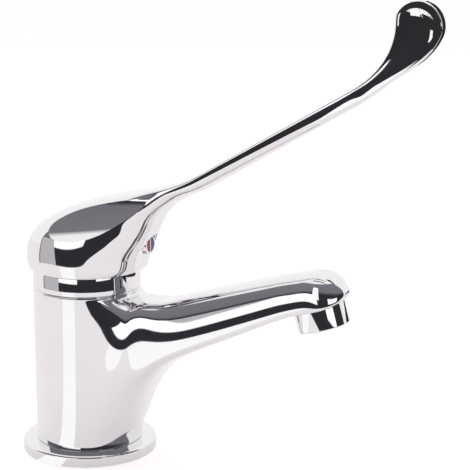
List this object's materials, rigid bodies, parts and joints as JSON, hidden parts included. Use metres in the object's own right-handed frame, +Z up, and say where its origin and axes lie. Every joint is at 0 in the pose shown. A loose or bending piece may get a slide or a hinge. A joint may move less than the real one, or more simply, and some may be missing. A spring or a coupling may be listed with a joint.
{
  "type": "elbow lever basin tap",
  "caption": "Basin mixer tap with a round body, a rising spout with aerator and a domed cap that carries a long elbow lever with a dished round end; the lever lifts and swings",
  "frame": {"origin": "centre of the underside, on the body's axis at the level of the deck", "axes": "+X towards the spout and the lever, +Y to the user's right, +Z up"},
  "size_m": [0.1947, 0.06, 0.2087],
  "materials": {
    "chrome_plate": "bright chrome plate on a polished casting",
    "seal_rubber": "moulded rubber, dull black",
    "white_plastic": "moulded plastic, off-white",
    "grey_plastic": "moulded plastic, light grey",
    "alumina": "lapped ceramic, ivory white",
    "bare_brass": "turned brass, unplated",
    "stainless": "stainless steel, plain",
    "red_inlay": "moulded plastic, red",
    "blue_inlay": "moulded plastic, blue"
  },
  "bodies": {
    "tap_body": {"body_casting": "chrome_plate", "base_flange": "chrome_plate", "base_seal": "seal_rubber", "cartridge_base": "white_plastic", "port_seals": "seal_rubber", "disc_seals": "seal_rubber", "fixed_ceramic_disc": "alumina", "cartridge_housing": "white_plastic", "cartridge_clamp_nut": "bare_brass", "collar_o_ring": "seal_rubber", "cover_collar": "chrome_plate", "aerator_housing": "chrome_plate", "aerator_gasket": "seal_rubber", "aerator_insert": "grey_plastic", "aerator_screens": "stainless"},
    "turret": {"spindle_turret": "grey_plastic", "spindle_o_ring": "seal_rubber", "stem_pivot_pin": "stainless"},
    "lever": {"lever_handle": "chrome_plate", "control_stem": "bare_brass", "handle_set_screw": "stainless", "index_plug": "chrome_plate", "hot_mark": "red_inlay", "cold_mark": "blue_inlay"},
    "disc_carriage": {"moving_ceramic_disc": "alumina", "disc_carrier": "grey_plastic"}
  },
  "joints": [
    {"name": "lever_swing", "type": "hinge", "parent": "tap_body", "child": "turret", "pos_m": [0, 0, 0.07], "axis": [0, 0, 1], "range_deg": [-50, 50]},
    {"name": "lever_lift", "type": "hinge", "parent": "turret", "child": "lever", "pos_m": [0, 0, 0.07], "axis": [0, -1, 0], "range_deg": [0, 25]},
    {"name": "disc_slide", "type": "slide", "parent": "turret", "child": "disc_carriage", "axis": [1, 0, 0], "range_m": [0, 0.0058]}
  ],
  "couplings": [
    {"joint": "disc_slide", "follows": "lever_lift", "m_per_rad": 0.013221}
  ]
}
